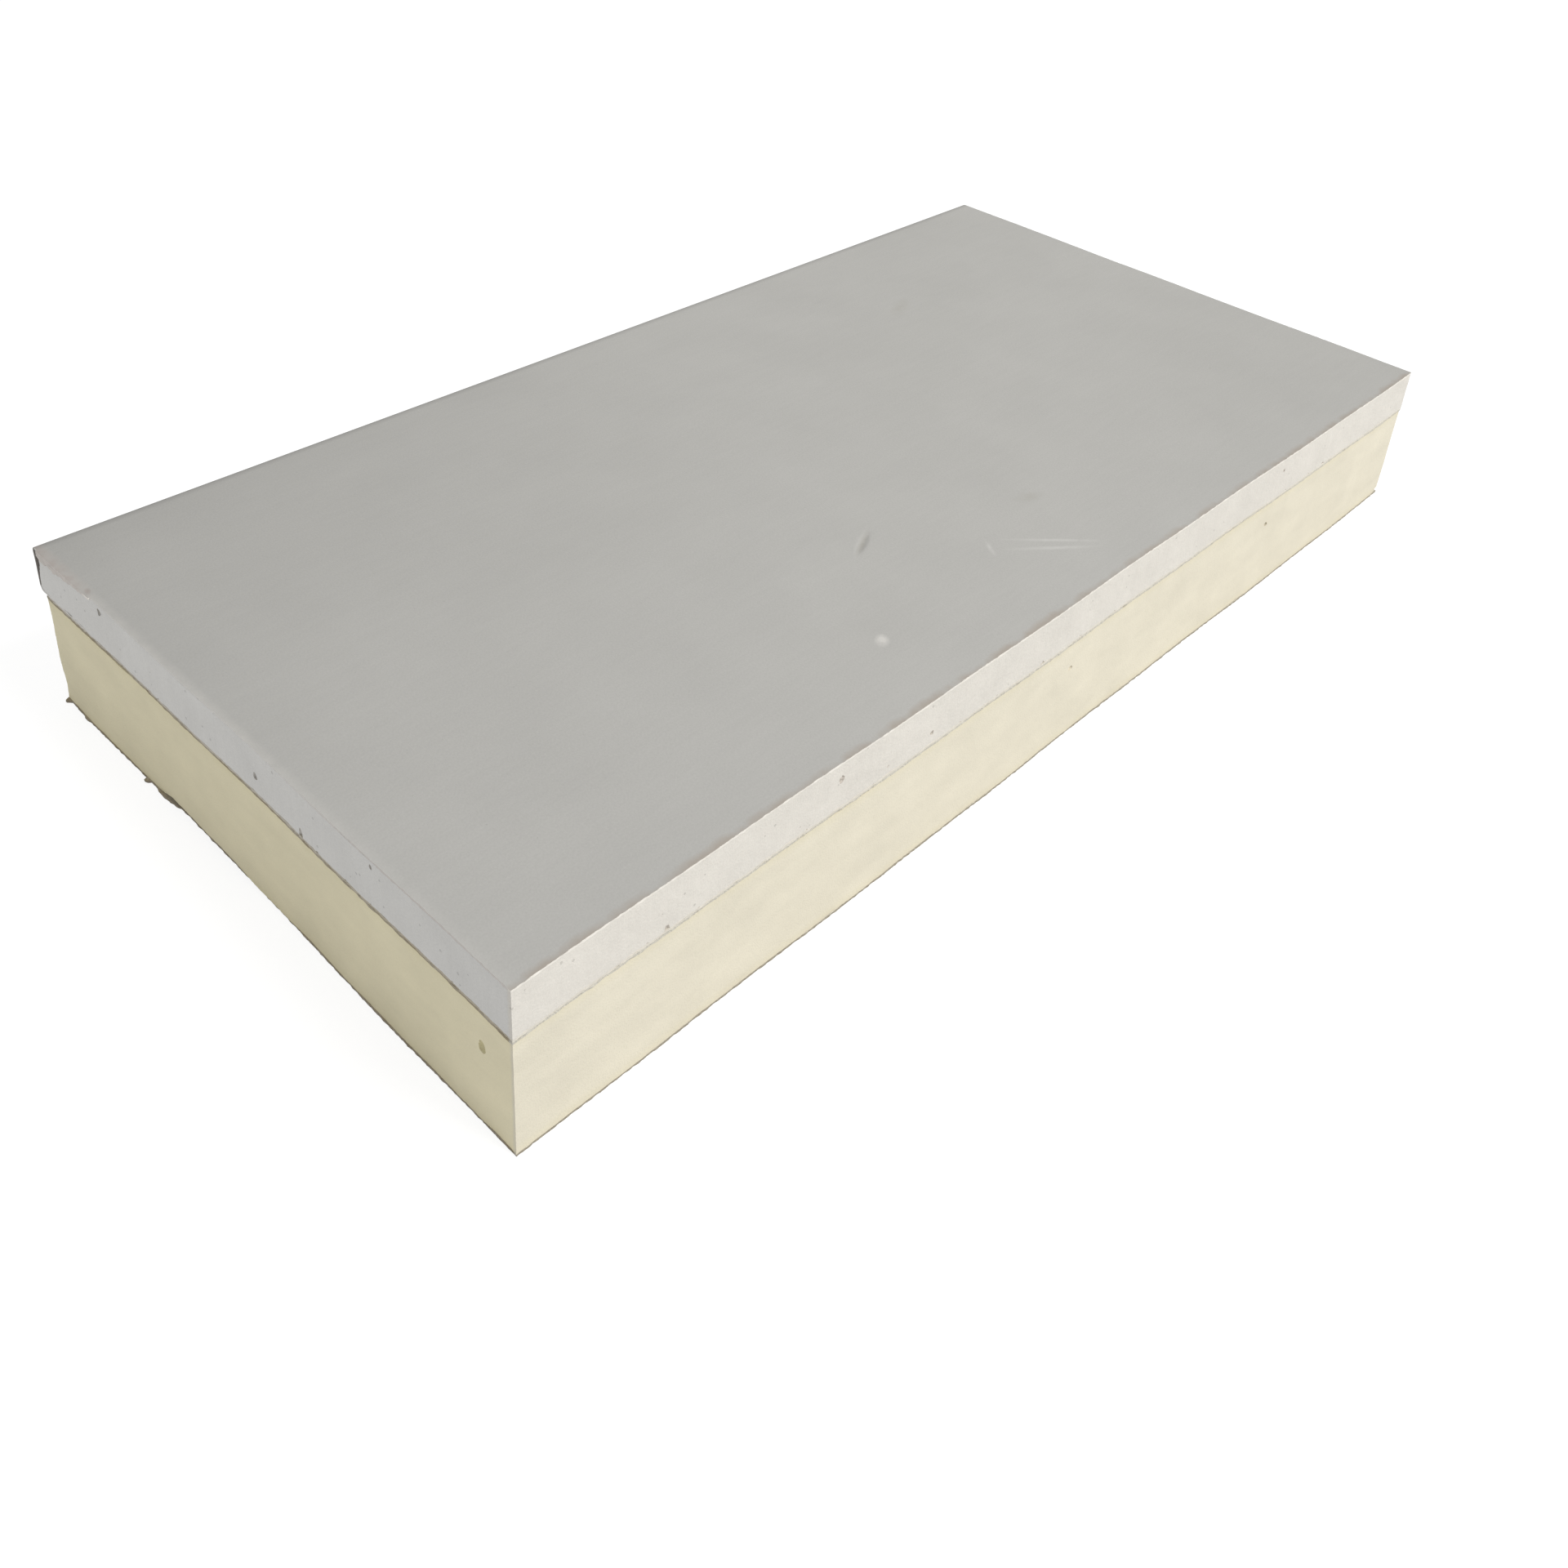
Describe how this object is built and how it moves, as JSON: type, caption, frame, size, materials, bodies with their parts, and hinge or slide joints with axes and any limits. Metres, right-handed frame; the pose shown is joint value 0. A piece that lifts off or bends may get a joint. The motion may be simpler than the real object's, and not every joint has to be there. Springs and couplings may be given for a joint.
{
  "type": "insulated plasterboard",
  "caption": "Sawn piece of insulated plasterboard: grey paper-lined gypsum board with one bound edge, bonded to a thick pale yellow rigid foam backing with thin facers.",
  "frame": {"origin": "centre of the box round the piece, at the level of its back, on which it lies", "axes": "+X along the length, +Y from the sawn long edge to the bound one, +Z out of the face"},
  "size_m": [0.3412, 0.172, 0.0425],
  "materials": {
    "face_paper": "matt grey liner paper",
    "gypsum": "sawn set gypsum, chalky and matt",
    "back_paper": "matt recycled liner paper",
    "top_facer": "glued facer tissue",
    "foam": "sawn closed-cell rigid foam",
    "back_facer": "mottled coated facer tissue"
  },
  "bodies": {
    "root": {"face_paper": "face_paper", "gypsum_core": "gypsum", "back_paper": "back_paper", "foam_top_facer": "top_facer", "foam_core": "foam", "foam_back_facer": "back_facer"}
  },
  "joints": []
}
